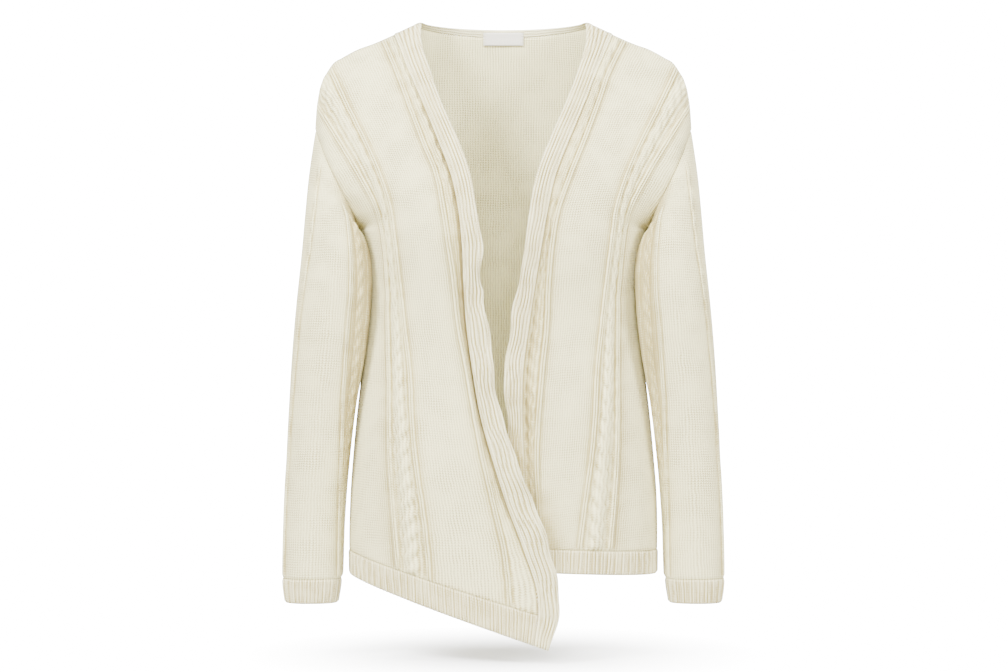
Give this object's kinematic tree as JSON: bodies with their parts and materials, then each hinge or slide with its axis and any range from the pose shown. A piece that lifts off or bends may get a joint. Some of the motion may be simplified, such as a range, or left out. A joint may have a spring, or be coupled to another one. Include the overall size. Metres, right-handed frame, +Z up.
{
  "type": "cardigan",
  "caption": "Knitted open-front cardigan with cabled fronts and sleeves, ribbed bands, hem and cuffs, hollow as it hangs when worn, with its right front lying over the left",
  "frame": {"origin": "midway between the two neck points, where the wearer's shoulders and neck hold the garment up", "axes": "+Z up, -Y the way the fronts face, +X the wearer's left"},
  "size_m": [0.5052, 0.2215, 0.711],
  "materials": {
    "stockinette_knit": "soft matt cream wool, fine stockinette",
    "rib_knit": "soft matt pale cream wool, ribbed",
    "woven_label": "pale woven tape, bare"
  },
  "bodies": {
    "root": {"back": "stockinette_knit", "front_right": "stockinette_knit", "front_left": "stockinette_knit", "sleeve_right": "stockinette_knit", "sleeve_left": "stockinette_knit", "band_right": "rib_knit", "band_left": "rib_knit", "neck_band": "rib_knit", "hem_back": "rib_knit", "hem_front_right": "rib_knit", "hem_front_left": "rib_knit", "cuff_right": "rib_knit", "cuff_left": "rib_knit", "label": "woven_label"}
  },
  "joints": []
}
